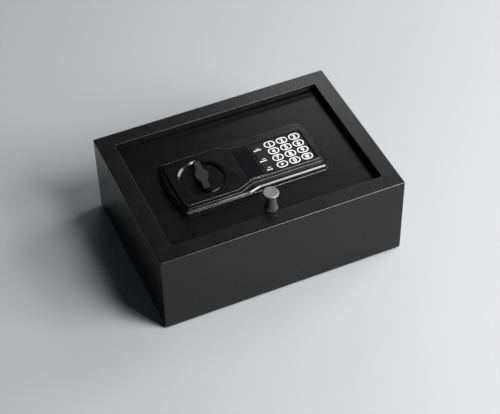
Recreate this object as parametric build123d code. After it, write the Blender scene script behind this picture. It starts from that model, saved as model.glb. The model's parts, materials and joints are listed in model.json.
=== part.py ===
from build123d import *
import os

# Top-opening in-room safe. Millimetres, +Z up. The origin is the centre of the footprint on the
# surface that the safe stands on. +X runs along the long front edge, +Y to the hinge side.

# Steel box
BODY_LENGTH = 310.0
BODY_DEPTH = 226.0
BODY_TOP = 113.4
FOOT_HEIGHT = 2.0
FOOT_RADIUS = 8.0
FOOT_INSET = 20.0
SHEET = 2.0
EDGE_RADIUS = 1.5
FRAME_WIDTH = 21.0
LIP_DEPTH = 20.0
ANCHOR_SPACING_X = 200.0
ANCHOR_SPACING_Y = 120.0
ANCHOR_HOLE_RADIUS = 4.5
MAT_HEIGHT = 2.0
MAT_MARGIN = 5.0
MAT_CORNER = 4.0
MAT_HOLE_RADIUS = 9.0
OPENING_X = BODY_LENGTH / 2 - FRAME_WIDTH
OPENING_Y = BODY_DEPTH / 2 - FRAME_WIDTH

# Lid
RECESS = 10.0
LID_TOP = BODY_TOP - RECESS
LID_THICKNESS = 3.5
LID_BOTTOM = LID_TOP - LID_THICKNESS
LID_GAP = 1.0
LID_X = OPENING_X - LID_GAP
LID_Y = OPENING_Y - LID_GAP
LID_EDGE_RADIUS = 1.2
LID_SCREW_DEPTH = 2.2
LID_STUD_DEPTH = 2.0
FLANGE_BOTTOM = LID_TOP - 12.0
FLANGE_FRONT = -86.0
HINGE_Y = 84.0
HINGE_Z = LID_BOTTOM
HINGE_PIN_RADIUS = 2.5
RUNNING_FIT = 0.05
BUSH_RADIUS = 4.0
BUSH_FLANGE_RADIUS = 5.5
BUSH_FLANGE = 1.5
FOOT_CHAMFER = 0.4

# Stop rails for the lid
RAIL_REACH = 10.0
RAIL_HALF_LENGTH = 60.0
BUMPER_HEIGHT = 1.3
BUMPER_LENGTH = 16.0
BUMPER_WIDTH = 6.0
BUMPER_GAP = 0.2
RAIL_TOP = FLANGE_BOTTOM - BUMPER_GAP - BUMPER_HEIGHT

# Live bolts and what drives them
BOLT_RADIUS = 6.0
BOLT_X = 85.0
BOLT_Z = 84.0
BOLT_TIP_Y = -88.0
BOLT_TAIL_Y = -64.0
BOLT_TRAVEL = 12.0
BOLT_CLEARANCE = 0.4
BOLT_CHAMFER = 1.0
GUIDE_PLATE_BACK = -85.0
GUIDE_PLATE = 3.0
GUIDE_PLATE_X = 112.0
GUIDE_PLATE_BOTTOM = 76.0
KEEPER_THICKNESS = 3.0
KEEPER_X = 120.0
KEEPER_BOTTOM = 74.0
KEEPER_FOOT = 6.0
CARRIAGE_BOTTOM = 91.0
CARRIAGE = 2.5
CARRIAGE_TOP = CARRIAGE_BOTTOM + CARRIAGE
CARRIAGE_BAR_BACK = -40.0
TAB_HALF = 8.0
ARM_LEFT = -78.0
ARM_RIGHT = -52.0
ARM_BACK = 11.0
CAM_RADIUS_TO_PIN = 8.5
CAM_PIN_RADIUS = 2.5
CAM_PIN_SLACK = 0.5
CAM_SLOT_LEFT = 7.0
CAM_SLOT_RIGHT = 4.0
CAM_DISC_RADIUS = 13.0
CAM_BOTTOM = 94.2
CAM_TOP = 97.2
STUD_X = 45.0
STUD_Y = -60.0
STUD_RADIUS = 2.5
STUD_SLACK = 0.4
STUD_HEAD_RADIUS = 5.0
STUD_HEAD = 2.0
STUD_HEAD_GAP = 0.3
NOTCH_Y = -30.0
NOTCH_WIDTH = 6.4
NOTCH_DEPTH = 5.5
PLUNGER_RADIUS = 2.5
PLUNGER_CLEARANCE = 0.3
PLUNGER_TIP_X = -51.5
PLUNGER_TAIL_X = -26.0
PLUNGER_COLLAR_RADIUS = 4.5
PLUNGER_COLLAR = (-46.5, -45.0)
COIL_LEFT = -44.0
COIL_RIGHT = -18.0
COIL_BORE_END = -22.0

# Lock panel, in three tiers above the lid. Where a front or back edge steps, its Y is given
# left and right of the step, and the step runs between two X places. A pair of bows is for the
# left end and the right end.
TIER_1_TOP = LID_TOP + 3.0
TIER_2_TOP = LID_TOP + 5.2
SKIRT_TOP = LID_TOP + 8.0
PANEL_TOP = LID_TOP + 11.0
COVER_LEFT = -96.0
COVER_RIGHT = 84.0
BASE_LEFT = -98.9
BASE_RIGHT = 86.8
BASE_FRONT = -47.8
BASE_BACK = 42.7
BASE_BOW_LEFT = 6.0
BASE_BOW_RIGHT = 6.8
BASE_CORNER = 6.0
BASE_EDGE = 0.8
HOUSING_LEFT = -98.3
HOUSING_RIGHT = 86.6
HOUSING_FRONT = (-46.6, -42.6)
HOUSING_BACK = (40.8, 36.8)
HOUSING_FRONT_STEP = (-15.0, -1.0)
HOUSING_BACK_STEP = (-15.0, -2.0)
HOUSING_BOW = (6.0, 5.6)
HOUSING_CORNER = 3.8
HOUSING_BEVEL = 1.5
COVER_FRONT = (-42.3, -34.0)
COVER_BACK = (34.3, 26.0)
COVER_FRONT_STEP = (-28.0, -9.0)
COVER_BACK_STEP = (-24.0, -9.0)
COVER_BOW = (0.8, 0.8)
COVER_CORNER = 4.0
COVER_EDGE = 0.7
SKIRT_STEP = 2.6
SKIRT_END = (0.6, 1.4)
SKIRT_BOW = (6.0, 1.2)
SKIRT_CORNER = 4.5
BEND_RADIUS = 4.0
PRY_RIDGE = (-3.4, 2.6, -40.0, -38.2)
PRY_RIDGE_HEIGHT = 0.8
PRY_RIDGE_CORNER = 0.85
PANEL_SCREWS = [(-86.0, 30.0), (-86.0, -36.0), (24.0, 30.0), (24.0, -38.0)]
PANEL_SCREW_RADIUS = 1.6
PANEL_SCREW_HOLE = 2.0
PANEL_SCREW_HEAD_RADIUS = 3.5
PANEL_SCREW_HEAD = 1.8
PANEL_SCREW_BITE = 1.6
PART_CORNER = 0.8

# Turn knob
KNOB_X = -59.5
KNOB_Y = -4.0
DISH_RADIUS = 29.0
DISH_FLOOR_RADIUS = 26.3
DISH_RIM_DEPTH = 1.6
KNOB_DISC_RADIUS = 25.9
KNOB_DISC_BOTTOM = TIER_2_TOP + 0.3
KNOB_DISC_TOP = LID_TOP + 7.8
GRIP_TOP = LID_TOP + 14.3
GRIP_FACE_TOP = LID_TOP + 15.0
GRIP_TURN = -6.0
GRIP_SIDE = [(4.2, 24.8), (4.8, 12.0), (8.5, 4.2), (8.5, -4.2), (4.8, -12.0), (4.2, -24.8)]
GRIP_CORNER = 1.4
GRIP_FACE_SCALE = 0.95
GRIP_FACE_CHAMFER = 0.3
KNOB_DISC_EDGE = 0.6
SPINDLE_RADIUS = 4.0
SPINDLE_CLEARANCE = 0.5
SPINDLE_BUSH_RADIUS = 5.5
SPINDLE_CLIP_RADIUS = 7.0
SPINDLE_CLIP = 1.0
SPINDLE_CLIP_GAP = 0.6
SPINDLE_CLIP_OPENING = 3.0

# Gloss cover plate and the emergency lock under it
LOCK_X = 0.1
LOCK_Y = -4.0
LOCK_RADIUS = 9.0
LOCK_CLEARANCE = 0.2
LOCK_TOP = LID_TOP + 9.0
LOCK_BOTTOM = 88.0
LOCK_NUT = 4.0
LOCK_NUT_RADIUS = 13.0
PLUG_RADIUS = 6.0
PLUG_TAIL = 2.0
KEYWAY_LENGTH = 8.0
KEYWAY_WIDTH = 1.6
KEYWAY_DEPTH = 12.0
TAIL_CAM = 2.0
TAIL_CAM_LENGTH = 10.0
TAIL_CAM_WIDTH = 9.0
CENTRE_LEFT = -10.6
CENTRE_RIGHT = 10.8
CENTRE_FRONT = -32.4
CENTRE_BACK = 24.6
CENTRE_FLOOR = LID_TOP + 9.2
CENTRE_GAP = 0.3
CENTRE_PROUD = 0.1
CENTRE_CORNER = 0.6
CENTRE_EDGE = 0.35

# Keypad
PAD_LEFT = 12.2
PAD_RIGHT = 80.8
PAD_FRONT = -32.2
PAD_BACK = 23.4
PAD_PLATE_TOP = LID_TOP + 10.0
PAD_PLATE_BOTTOM = LID_TOP + 8.4
PAD_RIM = 1.0
BOARD_TOP = TIER_2_TOP + 1.6
BEZEL_WIDTH = 1.1
BEZEL_TOP = LID_TOP + 11.5
KEY_LENGTH = 14.6
KEY_WIDTH = 11.0
KEY_CORNER = 5.3
KEY_GAP = 0.3
KEY_EDGE = 0.35
KEY_STEM_RADIUS = 2.0
KEY_PITCH_X = 16.4
KEY_PITCH_Y = 12.65
KEY_FIRST_X = 36.5
KEY_FIRST_Y = 13.9
KEY_TOP = LID_TOP + 10.5
KEY_CAP_BOTTOM = LID_TOP + 9.1
KEY_STEM_BOTTOM = LID_TOP + 7.9
KEY_ROWS = [["1", "2", "3"], ["4", "5", "6"], ["7", "8", "9"], ["star", "0", "hash"]]
LENS_X = 20.0
LENS_Y = [12.6, -6.4, -22.4]
LENS_LENGTH = 4.8
LENS_WIDTH = 1.8
LENS_CORNER = 0.85
LENS_PROUD = 0.2

# Under the lid
TRAY_X = 104.0
TRAY_BACK = 37.0
TRAY_SHEET = 1.2
TRAY_FLANGE = 8.0
TRAY_SIDE_SCREWS = (-60.0, 20.0)
TRAY_BACK_SCREW = 60.0
TRAY_SCREW_RADIUS = 1.75
TRAY_SCREW_HEAD_RADIUS = 3.2
TRAY_SCREW_HEAD = 2.2
TRAY_BOTTOM = GUIDE_PLATE_BOTTOM
BATTERY_RADIUS = 7.1
BATTERY_LENGTH = 50.0
BATTERY_PITCH = 14.8
BATTERY_COUNT = 4
CONTACT_RADIUS = 2.7
CONTACT_HEIGHT = 1.0
BATTERY_BOX_LEFT = 38.0
BATTERY_BOX_RIGHT = 102.0
BATTERY_BOX_FRONT = -23.0
BATTERY_BOX_BACK = 33.0
BATTERY_BOX_WALL = 1.5
BATTERY_COVER = 1.7
BATTERY_COVER_GAP = 0.1
BATTERY_COVER_LAP = 1.0
BATTERY_COVER_CORNER = 2.0
THUMB_RIBS = 4
THUMB_RIB_START = 6.0
THUMB_RIB_PITCH = 2.4
THUMB_RIB_WIDTH = 1.0
THUMB_RIB_HEIGHT = 0.6
THUMB_RIB_HALF = 9.0
RESET_X = -80.0
RESET_Y = 24.0
RESET_RADIUS = 3.0
RESET_CLEARANCE = 0.3
RESET_PROUD = 1.6
RESET_LENGTH = 7.6
RESET_EDGE = 0.5
SWITCH_HALF = 6.0
SWITCH_HEIGHT = 8.0
SWITCH_BORE = 7.0

# Pull knob
PULL_X = -2.0
PULL_Y = -75.4
PULL_SCREW_RADIUS = 2.5
PULL_SCREW_DEPTH = 12.0
PULL_SCREW_HEAD_RADIUS = 4.5
PULL_SCREW_HEAD = 3.0
PULL_SCREW_SOCKET_RADIUS = 1.6
PULL_HEIGHT = 26.0
PULL_FOOT_RADIUS = 8.2
PULL_HEAD_RADIUS = 9.4
PULL_HEAD_EDGE = 0.7
PULL_STEM = [(7.0, 5.0), (6.4, 12.0), (6.2, 20.5)]


def block(x0, x1, y0, y1, z0, z1):
    """A box between two corners."""
    return Pos((x0 + x1) / 2, (y0 + y1) / 2, (z0 + z1) / 2) * Box(x1 - x0, y1 - y0, z1 - z0)


def post(x, y, radius, z0, z1):
    """An upright round bar."""
    return Pos(x, y, (z0 + z1) / 2) * Cylinder(radius, z1 - z0)


def bar_x(y, z, radius, x0, x1):
    """A round bar along X."""
    return Pos((x0 + x1) / 2, y, z) * Rot(0, 90, 0) * Cylinder(radius, abs(x1 - x0))


def bar_y(x, z, radius, y0, y1):
    """A round bar along Y."""
    return Pos(x, (y0 + y1) / 2, z) * Rot(90, 0, 0) * Cylinder(radius, abs(y1 - y0))


def rounded_block(x0, x1, y0, y1, z0, z1, radius):
    """A box with round upright edges."""
    plate = Pos((x0 + x1) / 2, (y0 + y1) / 2, z0) * RectangleRounded(x1 - x0, y1 - y0, radius)
    return extrude(plate, z1 - z0)


def level_edges(solid, height):
    """The edges of a solid that lie level at one height."""
    return [e for e in solid.edges() if abs(e.bounding_box().min.Z - height) < 0.01
            and abs(e.bounding_box().max.Z - height) < 0.01]


def outer_shell():
    """Folded walls, top frame and the lip turned down round the opening, welded into one."""
    shell = block(-BODY_LENGTH / 2, BODY_LENGTH / 2, -BODY_DEPTH / 2, BODY_DEPTH / 2,
                  FOOT_HEIGHT, BODY_TOP)
    shell = fillet(shell.edges().filter_by(Axis.Z), EDGE_RADIUS)
    shell = fillet(level_edges(shell, BODY_TOP) + level_edges(shell, FOOT_HEIGHT), EDGE_RADIUS)
    shell -= block(-BODY_LENGTH / 2 + SHEET, BODY_LENGTH / 2 - SHEET,
                   -BODY_DEPTH / 2 + SHEET, BODY_DEPTH / 2 - SHEET,
                   FOOT_HEIGHT, BODY_TOP - SHEET)
    shell += block(-OPENING_X - SHEET, OPENING_X + SHEET, -OPENING_Y - SHEET, OPENING_Y + SHEET,
                   BODY_TOP - LIP_DEPTH, BODY_TOP - SHEET)
    shell -= block(-OPENING_X, OPENING_X, -OPENING_Y, OPENING_Y, BODY_TOP - LIP_DEPTH, BODY_TOP)
    inner = [e for e in level_edges(shell, BODY_TOP) if abs(e.center().X) < OPENING_X + 0.01
             and abs(e.center().Y) < OPENING_Y + 0.01]
    shell = fillet(inner, EDGE_RADIUS / 2)
    shell -= bar_x(HINGE_Y, HINGE_Z, BUSH_RADIUS, -OPENING_X - SHEET, OPENING_X + SHEET)
    return shell


def anchor_points():
    """Centres of the four anchor holes in the base."""
    return [(sx * ANCHOR_SPACING_X / 2, sy * ANCHOR_SPACING_Y / 2) for sx in (-1, 1) for sy in (-1, 1)]


def base_plate():
    """Floor of the box, with four holes for anchoring it down."""
    plate = block(-BODY_LENGTH / 2 + SHEET, BODY_LENGTH / 2 - SHEET,
                  -BODY_DEPTH / 2 + SHEET, BODY_DEPTH / 2 - SHEET,
                  FOOT_HEIGHT, FOOT_HEIGHT + SHEET)
    for x, y in anchor_points():
        plate -= post(x, y, ANCHOR_HOLE_RADIUS, FOOT_HEIGHT, FOOT_HEIGHT + SHEET)
    return plate


def floor_mat():
    """Felt mat on the floor, cut out round the anchor holes."""
    bottom = FOOT_HEIGHT + SHEET
    mat = rounded_block(-BODY_LENGTH / 2 + MAT_MARGIN, BODY_LENGTH / 2 - MAT_MARGIN,
                        -BODY_DEPTH / 2 + MAT_MARGIN, BODY_DEPTH / 2 - MAT_MARGIN,
                        bottom, bottom + MAT_HEIGHT, MAT_CORNER)
    for x, y in anchor_points():
        mat -= post(x, y, MAT_HOLE_RADIUS, bottom, bottom + MAT_HEIGHT)
    return mat


def rubber_feet():
    """Four thin round feet under the base plate."""
    foot = chamfer(level_edges(post(0, 0, FOOT_RADIUS, 0, FOOT_HEIGHT), 0), FOOT_CHAMFER)
    x = BODY_LENGTH / 2 - FOOT_INSET
    y = BODY_DEPTH / 2 - FOOT_INSET
    return [Pos(sx * x, sy * y, 0) * foot for sx in (-1, 1) for sy in (-1, 1)]


def lid_stop_rails():
    """An angle welded under the lip at each end of the opening."""
    rail = block(-OPENING_X - SHEET, -OPENING_X - SHEET + RAIL_REACH,
                 -RAIL_HALF_LENGTH, RAIL_HALF_LENGTH, RAIL_TOP - SHEET, RAIL_TOP)
    rail += block(-OPENING_X - 2 * SHEET, -OPENING_X - SHEET,
                  -RAIL_HALF_LENGTH, RAIL_HALF_LENGTH, RAIL_TOP - SHEET, BODY_TOP - LIP_DEPTH / 2)
    return [rail, mirror(rail, Plane.YZ)]


def lid_bumpers():
    """Rubber pads on the stop rails, which the lid's side flanges come down on."""
    pads = []
    for side in (-1, 1):
        for y in (-RAIL_HALF_LENGTH + BUMPER_LENGTH, RAIL_HALF_LENGTH - BUMPER_LENGTH):
            x = side * (LID_X - LID_THICKNESS / 2)
            pads.append(block(x - BUMPER_WIDTH / 2, x + BUMPER_WIDTH / 2,
                              y - BUMPER_LENGTH / 2, y + BUMPER_LENGTH / 2,
                              RAIL_TOP, RAIL_TOP + BUMPER_HEIGHT))
    return pads


def keeper_plate():
    """Angle behind the front lip, with the two holes that the bolts enter."""
    front = -OPENING_Y - SHEET - KEEPER_THICKNESS
    plate = block(-KEEPER_X, KEEPER_X, front, -OPENING_Y - SHEET, KEEPER_BOTTOM, BODY_TOP - SHEET)
    plate += block(-KEEPER_X, KEEPER_X, front - KEEPER_FOOT, front, KEEPER_BOTTOM, KEEPER_BOTTOM + SHEET)
    for x in (-BOLT_X, BOLT_X):
        plate -= bar_y(x, BOLT_Z, BOLT_RADIUS + BOLT_CLEARANCE, front, -OPENING_Y - SHEET)
    return plate


def hinge_bushes():
    """Flanged bushes in the two ends of the lip."""
    outer = OPENING_X + SHEET
    bush = bar_x(HINGE_Y, HINGE_Z, BUSH_RADIUS, OPENING_X, outer)
    bush += bar_x(HINGE_Y, HINGE_Z, BUSH_FLANGE_RADIUS, outer, outer + BUSH_FLANGE)
    bush -= bar_x(HINGE_Y, HINGE_Z, HINGE_PIN_RADIUS + RUNNING_FIT, OPENING_X, outer + BUSH_FLANGE)
    return [bush, mirror(bush, Plane.YZ)]


def lid_plate():
    """Flat lid with a flange turned down at each end, where the hinge pins are fixed."""
    plate = block(-LID_X, LID_X, -LID_Y, LID_Y, LID_BOTTOM, LID_TOP)
    plate = fillet(level_edges(plate, LID_TOP), LID_EDGE_RADIUS)
    flange = block(-LID_X, -LID_X + LID_THICKNESS, FLANGE_FRONT, LID_Y - LID_EDGE_RADIUS,
                   FLANGE_BOTTOM, LID_BOTTOM)
    plate = plate + flange + mirror(flange, Plane.YZ)
    for side in (-1, 1):
        plate -= bar_x(HINGE_Y, HINGE_Z, HINGE_PIN_RADIUS,
                       side * (LID_X - LID_THICKNESS), side * LID_X)
    plate -= post(KNOB_X, KNOB_Y, SPINDLE_BUSH_RADIUS, LID_BOTTOM, LID_TOP)
    plate -= post(LOCK_X, LOCK_Y, LOCK_RADIUS, LID_BOTTOM, LID_TOP)
    plate -= post(PULL_X, PULL_Y, PULL_SCREW_RADIUS, LID_BOTTOM, LID_TOP)
    for x, y in PANEL_SCREWS:
        plate -= post(x, y, PANEL_SCREW_HOLE, LID_BOTTOM, LID_TOP)
    for x, y in tray_screw_points():
        plate -= post(x, y, TRAY_SCREW_RADIUS, LID_BOTTOM, LID_BOTTOM + LID_SCREW_DEPTH)
    for x in (-STUD_X, STUD_X):
        plate -= post(x, STUD_Y, STUD_RADIUS, LID_BOTTOM, LID_BOTTOM + LID_STUD_DEPTH)
    return plate


def hinge_pins():
    """Two pins fixed in the lid's end flanges."""
    end = OPENING_X + SHEET + BUSH_FLANGE
    return [bar_x(HINGE_Y, HINGE_Z, HINGE_PIN_RADIUS, side * (LID_X - LID_THICKNESS), side * end)
            for side in (-1, 1)]


def pull_knob():
    """Turned mushroom knob: flared foot, slim neck and flat round head."""
    foot = (PULL_FOOT_RADIUS, 1.2)
    head_edge = PULL_HEIGHT - 3.2
    with BuildPart() as knob:
        with BuildSketch(Plane.XZ):
            with BuildLine():
                Polyline((0, 0), (PULL_FOOT_RADIUS, 0), foot)
                Spline(foot, *PULL_STEM, tangents=((-0.4, 1), (0.2, 1)))
                Polyline(PULL_STEM[-1], (PULL_HEAD_RADIUS - 1.2, head_edge - 1),
                         (PULL_HEAD_RADIUS, head_edge), (PULL_HEAD_RADIUS, PULL_HEIGHT),
                         (0, PULL_HEIGHT), (0, 0))
            make_face()
        revolve(axis=Axis.Z)
    solid = fillet(level_edges(knob.part, PULL_HEIGHT), PULL_HEAD_EDGE)
    solid -= post(0, 0, PULL_SCREW_RADIUS, 0, PULL_SCREW_DEPTH)
    return Pos(PULL_X, PULL_Y, LID_TOP) * solid


def pull_knob_screw():
    """Screw that holds the pull knob from under the lid."""
    head_bottom = LID_BOTTOM - PULL_SCREW_HEAD
    head = post(PULL_X, PULL_Y, PULL_SCREW_HEAD_RADIUS, head_bottom, LID_BOTTOM)
    head -= post(PULL_X, PULL_Y, PULL_SCREW_SOCKET_RADIUS, head_bottom, LID_BOTTOM - PULL_SCREW_HEAD / 2)
    return head + post(PULL_X, PULL_Y, PULL_SCREW_RADIUS, LID_BOTTOM, LID_TOP + PULL_SCREW_DEPTH)


def bowed_outline():
    """Outline of the lowest tier: straight front and back, ends bowed outwards."""
    middle = (BASE_FRONT + BASE_BACK) / 2
    with BuildSketch() as outline:
        with BuildLine():
            Line((BASE_LEFT, BASE_FRONT), (BASE_RIGHT, BASE_FRONT))
            ThreePointArc((BASE_RIGHT, BASE_FRONT), (BASE_RIGHT + BASE_BOW_RIGHT, middle),
                          (BASE_RIGHT, BASE_BACK))
            Line((BASE_RIGHT, BASE_BACK), (BASE_LEFT, BASE_BACK))
            ThreePointArc((BASE_LEFT, BASE_BACK), (BASE_LEFT - BASE_BOW_LEFT, middle),
                          (BASE_LEFT, BASE_FRONT))
        make_face()
        fillet(outline.vertices(), BASE_CORNER)
    return outline.sketch


def stepped_outline(left, right, front, back, front_step, back_step, bow, corner):
    """Outline that is wide at its left and narrow at its right, with an S step in each side."""
    with BuildSketch() as outline:
        with BuildLine():
            Polyline((left, front[0]), (front_step[0], front[0]), (front_step[1], front[1]),
                     (right, front[1]))
            ThreePointArc((right, front[1]), (right + bow[1], (front[1] + back[1]) / 2), (right, back[1]))
            Polyline((right, back[1]), (back_step[1], back[1]), (back_step[0], back[0]),
                     (left, back[0]))
            ThreePointArc((left, back[0]), (left - bow[0], (front[0] + back[0]) / 2), (left, front[0]))
        make_face()
        ends = [v for v in outline.vertices() if abs(v.X - left) < 1 or abs(v.X - right) < 1]
        bends = [v for v in outline.vertices() if v not in ends]
        fillet(ends, corner)
        fillet(bends, BEND_RADIUS)
    return outline.sketch


def panel_holes(z0, z1):
    """Through holes for the knob's spindle and the emergency lock."""
    return (post(KNOB_X, KNOB_Y, SPINDLE_RADIUS + SPINDLE_CLEARANCE, z0, z1)
            + post(LOCK_X, LOCK_Y, LOCK_RADIUS + LOCK_CLEARANCE, z0, z1))


def panel_base():
    """Lowest tier of the lock panel: a thin lip all round."""
    base = extrude(Pos(0, 0, LID_TOP) * bowed_outline(), TIER_1_TOP - LID_TOP)
    base = fillet(level_edges(base, TIER_1_TOP), BASE_EDGE)
    base -= panel_holes(LID_TOP, TIER_1_TOP)
    for x, y in PANEL_SCREWS:
        base -= post(x, y, PANEL_SCREW_HOLE, LID_TOP, TIER_1_TOP)
    return base


def panel_housing():
    """Middle tier, with a broad bevel along its edge and a small pry ridge in front."""
    outline = stepped_outline(HOUSING_LEFT, HOUSING_RIGHT, HOUSING_FRONT, HOUSING_BACK,
                              HOUSING_FRONT_STEP, HOUSING_BACK_STEP, HOUSING_BOW, HOUSING_CORNER)
    housing = extrude(Pos(0, 0, TIER_1_TOP) * outline, TIER_2_TOP - TIER_1_TOP)
    housing = chamfer(level_edges(housing, TIER_2_TOP), HOUSING_BEVEL)
    housing += rounded_block(*PRY_RIDGE, TIER_2_TOP, TIER_2_TOP + PRY_RIDGE_HEIGHT, PRY_RIDGE_CORNER)
    housing -= panel_holes(TIER_1_TOP, TIER_2_TOP)
    for x, y in PANEL_SCREWS:
        housing -= post(x, y, PANEL_SCREW_RADIUS, TIER_1_TOP, TIER_1_TOP + PANEL_SCREW_BITE)
    return housing


def panel_cover():
    """Top cover: a raised field on a stepped skirt, with dish, centre pocket and keypad window."""
    skirt = stepped_outline(COVER_LEFT - SKIRT_END[0], COVER_RIGHT + SKIRT_END[1],
                            (COVER_FRONT[0] - SKIRT_STEP, COVER_FRONT[1] - SKIRT_STEP),
                            (COVER_BACK[0] + SKIRT_STEP, COVER_BACK[1] + SKIRT_STEP),
                            (COVER_FRONT_STEP[0] + 1.5, COVER_FRONT_STEP[1] + 1.5),
                            (COVER_BACK_STEP[0] + 1.5, COVER_BACK_STEP[1] + 1.5),
                            SKIRT_BOW, SKIRT_CORNER)
    field = stepped_outline(COVER_LEFT, COVER_RIGHT, COVER_FRONT, COVER_BACK,
                            COVER_FRONT_STEP, COVER_BACK_STEP, COVER_BOW, COVER_CORNER)
    cover = extrude(Pos(0, 0, TIER_2_TOP) * skirt, SKIRT_TOP - TIER_2_TOP)
    cover = fillet(level_edges(cover, SKIRT_TOP), COVER_EDGE)
    upper = extrude(Pos(0, 0, TIER_2_TOP) * field, PANEL_TOP - TIER_2_TOP)
    cover += fillet(level_edges(upper, PANEL_TOP), COVER_EDGE)
    cover -= Pos(KNOB_X, KNOB_Y, PANEL_TOP - DISH_RIM_DEPTH / 2) * Cone(
        DISH_FLOOR_RADIUS, DISH_RADIUS, DISH_RIM_DEPTH)
    cover -= post(KNOB_X, KNOB_Y, DISH_FLOOR_RADIUS, TIER_2_TOP, PANEL_TOP)
    cover -= rounded_block(CENTRE_LEFT, CENTRE_RIGHT, CENTRE_FRONT, CENTRE_BACK,
                           CENTRE_FLOOR, PANEL_TOP, PART_CORNER)
    cover -= post(LOCK_X, LOCK_Y, LOCK_RADIUS + LOCK_CLEARANCE, TIER_2_TOP, CENTRE_FLOOR)
    cover -= pad_block(TIER_2_TOP, PANEL_TOP)
    return cover


def panel_screws():
    """Four screws from under the lid into the middle tier."""
    screws = []
    for x, y in PANEL_SCREWS:
        screws.append(post(x, y, PANEL_SCREW_HEAD_RADIUS, LID_BOTTOM - PANEL_SCREW_HEAD, LID_BOTTOM)
                      + post(x, y, PANEL_SCREW_RADIUS, LID_BOTTOM, TIER_1_TOP + PANEL_SCREW_BITE))
    return screws


def pad_block(z0, z1):
    """The keypad's whole outline between two heights."""
    return rounded_block(PAD_LEFT, PAD_RIGHT, PAD_FRONT, PAD_BACK, z0, z1, PART_CORNER)


def pad_inside(wall, z0, z1):
    """The space inside the keypad's outline, a wall's thickness in from it."""
    return block(PAD_LEFT + wall, PAD_RIGHT - wall, PAD_FRONT + wall, PAD_BACK - wall, z0, z1)


def keypad_bezel():
    """Thin raised frame round the keypad."""
    return pad_block(PAD_PLATE_TOP, BEZEL_TOP) - pad_inside(BEZEL_WIDTH, PAD_PLATE_TOP, BEZEL_TOP)


def key_point(row, column):
    """Centre of one key."""
    return KEY_FIRST_X + column * KEY_PITCH_X, KEY_FIRST_Y - row * KEY_PITCH_Y


def key_blank(x, y, grow, z0, z1):
    """The rounded outline of a key, grown on every side, between two heights."""
    return rounded_block(x - KEY_LENGTH / 2 - grow, x + KEY_LENGTH / 2 + grow,
                         y - KEY_WIDTH / 2 - grow, y + KEY_WIDTH / 2 + grow,
                         z0, z1, KEY_CORNER + grow)


def lens_blanks(z0, z1):
    """The three indicator windows between two heights."""
    return [rounded_block(LENS_X - LENS_LENGTH / 2, LENS_X + LENS_LENGTH / 2,
                          y - LENS_WIDTH / 2, y + LENS_WIDTH / 2, z0, z1, LENS_CORNER) for y in LENS_Y]


def keypad_plate():
    """Keypad face with a hole for each key and lens, and a rim that rests on the board."""
    plate = pad_block(BOARD_TOP, PAD_PLATE_TOP) - pad_inside(PAD_RIM, BOARD_TOP, PAD_PLATE_BOTTOM)
    for row, names in enumerate(KEY_ROWS):
        for column in range(len(names)):
            x, y = key_point(row, column)
            plate -= key_blank(x, y, KEY_GAP, PAD_PLATE_BOTTOM, PAD_PLATE_TOP)
    for blank in lens_blanks(PAD_PLATE_BOTTOM, PAD_PLATE_TOP):
        plate -= blank
    return plate


def key(row, column):
    """One push key: rounded cap on a short stem."""
    x, y = key_point(row, column)
    cap = fillet(level_edges(key_blank(x, y, 0, KEY_CAP_BOTTOM, KEY_TOP), KEY_TOP), KEY_EDGE)
    return cap + post(x, y, KEY_STEM_RADIUS, KEY_STEM_BOTTOM, KEY_CAP_BOTTOM)


def indicator_lenses():
    """Three small windows beside the keys."""
    return lens_blanks(PAD_PLATE_BOTTOM, PAD_PLATE_TOP + LENS_PROUD)


def keypad_board():
    """Circuit board under the keypad."""
    return pad_block(TIER_2_TOP, BOARD_TOP)


def centre_cover():
    """Gloss plate that lifts off to reach the emergency lock."""
    top = PANEL_TOP + CENTRE_PROUD
    plate = rounded_block(CENTRE_LEFT + CENTRE_GAP, CENTRE_RIGHT - CENTRE_GAP,
                          CENTRE_FRONT + CENTRE_GAP, CENTRE_BACK - CENTRE_GAP,
                          CENTRE_FLOOR + CENTRE_GAP, top, CENTRE_CORNER)
    return fillet(level_edges(plate, top), CENTRE_EDGE)


def lock_body():
    """Round body of the emergency lock."""
    body = post(LOCK_X, LOCK_Y, LOCK_RADIUS, LOCK_BOTTOM, LOCK_TOP)
    return body - post(LOCK_X, LOCK_Y, PLUG_RADIUS + RUNNING_FIT, LOCK_BOTTOM, LOCK_TOP)


def lock_nut():
    """Hexagon nut that clamps the emergency lock under the lid."""
    bottom = LID_BOTTOM - LOCK_NUT
    nut = extrude(Pos(LOCK_X, LOCK_Y, bottom) * RegularPolygon(LOCK_NUT_RADIUS, 6), LOCK_NUT)
    return nut - post(LOCK_X, LOCK_Y, LOCK_RADIUS, bottom, LID_BOTTOM)


def key_plug():
    """Turning plug of the emergency lock, with its keyway."""
    plug = post(LOCK_X, LOCK_Y, PLUG_RADIUS, LOCK_BOTTOM - PLUG_TAIL, LOCK_TOP)
    return plug - block(LOCK_X - KEYWAY_LENGTH / 2, LOCK_X + KEYWAY_LENGTH / 2,
                        LOCK_Y - KEYWAY_WIDTH / 2, LOCK_Y + KEYWAY_WIDTH / 2,
                        LOCK_TOP - KEYWAY_DEPTH, LOCK_TOP)


def key_plug_cam():
    """Tail cam on the end of the key plug."""
    tail = SlotCenterToCenter(TAIL_CAM_LENGTH, TAIL_CAM_WIDTH)
    bottom = LOCK_BOTTOM - PLUG_TAIL - TAIL_CAM
    return extrude(Pos(LOCK_X + TAIL_CAM_LENGTH / 2, LOCK_Y, bottom) * tail, TAIL_CAM)


def grip_outline(scale):
    """Long hexagonal grip with a waist near each end and its widest part in the middle."""
    points = GRIP_SIDE + [(-x, y) for x, y in reversed(GRIP_SIDE)]
    with BuildSketch() as outline:
        with BuildLine():
            Polyline(*[(x * scale, y * scale) for x, y in points], close=True)
        make_face()
        fillet(outline.vertices(), GRIP_CORNER)
    return Pos(KNOB_X, KNOB_Y, 0) * Rot(0, 0, GRIP_TURN) * outline.sketch


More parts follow.
